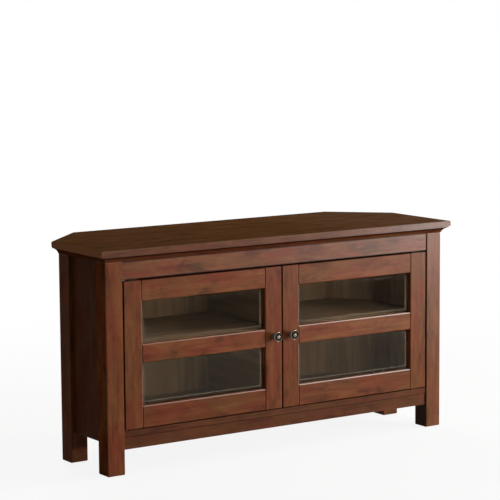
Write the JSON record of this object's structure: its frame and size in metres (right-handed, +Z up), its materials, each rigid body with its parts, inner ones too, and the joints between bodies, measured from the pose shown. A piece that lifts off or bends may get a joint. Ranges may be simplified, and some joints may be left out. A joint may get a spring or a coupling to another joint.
{
  "type": "corner media cabinet",
  "caption": "Low wooden corner cabinet for a television: six-sided top with crown moulding, square legs, inset glazed doors, adjustable shelves.",
  "frame": {"origin": "on the floor, below the middle of the whole outline with the knobs", "axes": "+X to the right of someone in front of the doors, +Y towards the back, +Z up"},
  "size_m": [1.118, 0.411, 0.584],
  "materials": {
    "wood": "satin reddish-brown stain and lacquer",
    "interior": "dark brown laminate, matt",
    "glass": "clear polished",
    "pewter": "antique pewter",
    "steel": "zinc plated",
    "bronze": "antique bronze",
    "plastic": "moulded, matt"
  },
  "bodies": {
    "cabinet": {"top_board": "wood", "front_moulding": "wood", "top_front_rail": "wood", "bottom_front_rail": "wood", "front_sill": "wood", "cabinet_floor": "interior", "back_panel": "interior", "centre_partition": "interior", "left_side_moulding": "wood", "right_side_moulding": "wood", "left_front_leg": "wood", "right_front_leg": "wood", "left_rear_leg": "wood", "right_rear_leg": "wood", "left_side_panel": "wood", "right_side_panel": "wood", "left_corner_panel": "wood", "right_corner_panel": "wood", "left_shelf": "interior", "right_shelf": "interior", "left_front_glide": "plastic", "right_front_glide": "plastic", "left_rear_glide": "plastic", "right_rear_glide": "plastic", "left_door_catch": "plastic", "right_door_catch": "plastic", "left_shelf_pin_front_outer": "steel", "right_shelf_pin_front_outer": "steel", "left_shelf_pin_rear_outer": "steel", "right_shelf_pin_rear_outer": "steel", "left_shelf_pin_front_inner": "steel", "right_shelf_pin_front_inner": "steel", "left_shelf_pin_rear_inner": "steel", "right_shelf_pin_rear_inner": "steel", "left_lower_hinge_frame_leaf": "bronze", "right_lower_hinge_frame_leaf": "bronze", "left_upper_hinge_frame_leaf": "bronze", "right_upper_hinge_frame_leaf": "bronze"},
    "left_door": {"left_door_hinge_stile": "wood", "left_door_meeting_stile": "wood", "left_door_bottom_rail": "wood", "left_door_middle_rail": "wood", "left_door_top_rail": "wood", "left_door_lower_glass": "glass", "left_door_upper_glass": "glass", "left_door_knob": "pewter", "left_lower_hinge_door_leaf": "bronze", "left_upper_hinge_door_leaf": "bronze", "left_door_strike_plate": "steel"},
    "right_door": {"right_door_hinge_stile": "wood", "right_door_meeting_stile": "wood", "right_door_bottom_rail": "wood", "right_door_middle_rail": "wood", "right_door_top_rail": "wood", "right_door_lower_glass": "glass", "right_door_upper_glass": "glass", "right_door_knob": "pewter", "right_lower_hinge_door_leaf": "bronze", "right_upper_hinge_door_leaf": "bronze", "right_door_strike_plate": "steel"}
  },
  "joints": [
    {"name": "left_door_hinge", "type": "hinge", "parent": "cabinet", "child": "left_door", "pos_m": [-0.47, -0.1705, 0.3095], "axis": [0, 0, -1], "range_deg": [0, 105]},
    {"name": "right_door_hinge", "type": "hinge", "parent": "cabinet", "child": "right_door", "pos_m": [0.47, -0.1705, 0.3095], "axis": [0, 0, 1], "range_deg": [0, 105]}
  ]
}
